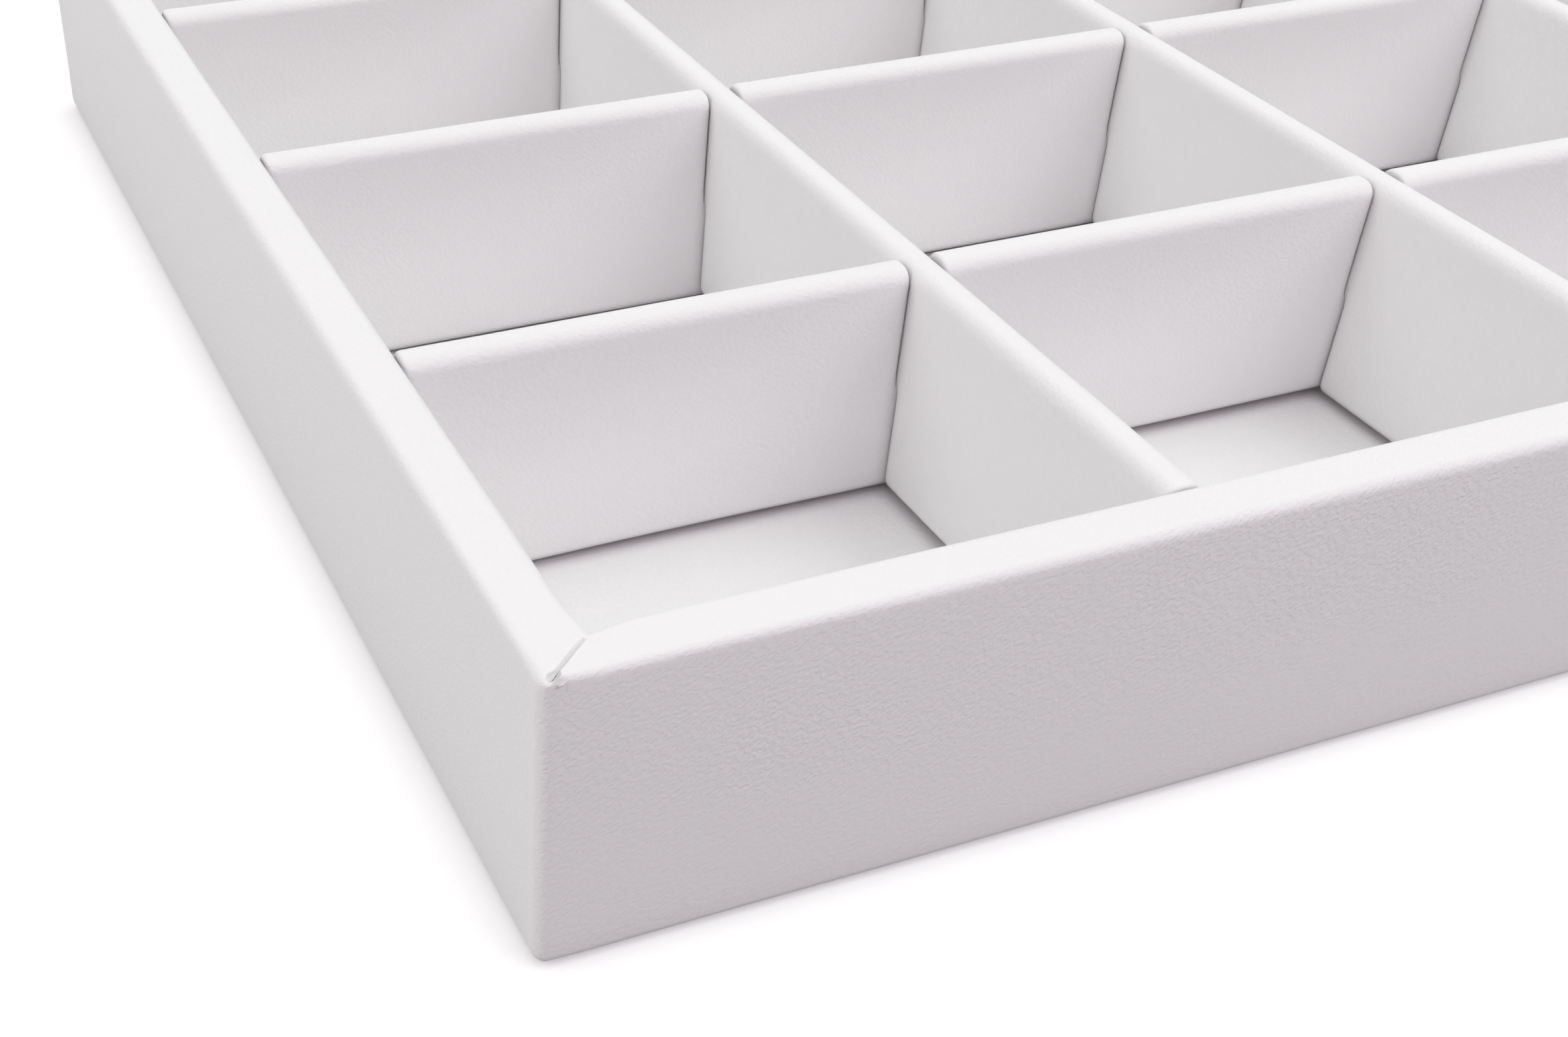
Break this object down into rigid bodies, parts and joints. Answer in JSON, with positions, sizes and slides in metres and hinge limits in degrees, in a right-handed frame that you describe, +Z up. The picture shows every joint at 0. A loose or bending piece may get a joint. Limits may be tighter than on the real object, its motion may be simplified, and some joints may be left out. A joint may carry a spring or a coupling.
{
  "type": "drawer organizer insert",
  "caption": "Shallow leatherette-covered drawer tray with a lift-out grid of half-lapped dividers that makes equal open compartments.",
  "frame": {"origin": "middle of the underside, on the surface that the felt stands on", "axes": "+X to the right along the front wall, +Y from front to back, +Z up"},
  "size_m": [0.353, 0.288, 0.046],
  "materials": {
    "leatherette": "fine pebble grain, matte to satin",
    "board": "raw fibreboard",
    "card": "raw grey board",
    "felt": "pressed felt"
  },
  "bodies": {
    "tray": {"base_board": "board", "front_rail": "board", "right_rail": "board", "rear_rail": "board", "left_rail": "board", "wall_cover": "leatherette", "floor_card": "card", "floor_lining": "leatherette", "underside_felt": "felt"},
    "row_grid": {"row_divider_1_board": "card", "row_divider_2_board": "card", "row_divider_3_board": "card", "row_divider_1_cover": "leatherette", "row_divider_2_cover": "leatherette", "row_divider_3_cover": "leatherette"},
    "column_divider_1": {"column_divider_1_board": "card", "column_divider_1_cover": "leatherette"},
    "column_divider_2": {"column_divider_2_board": "card", "column_divider_2_cover": "leatherette"},
    "column_divider_3": {"column_divider_3_board": "card", "column_divider_3_cover": "leatherette"}
  },
  "joints": [
    {"name": "grid_lift", "type": "slide", "parent": "tray", "child": "row_grid", "axis": [0, 0, 1], "range_m": [0, 0.05]},
    {"name": "column_1_lift", "type": "slide", "parent": "row_grid", "child": "column_divider_1", "axis": [0, 0, 1], "range_m": [0, 0.05]},
    {"name": "column_2_lift", "type": "slide", "parent": "row_grid", "child": "column_divider_2", "axis": [0, 0, 1], "range_m": [0, 0.05]},
    {"name": "column_3_lift", "type": "slide", "parent": "row_grid", "child": "column_divider_3", "axis": [0, 0, 1], "range_m": [0, 0.05]}
  ]
}
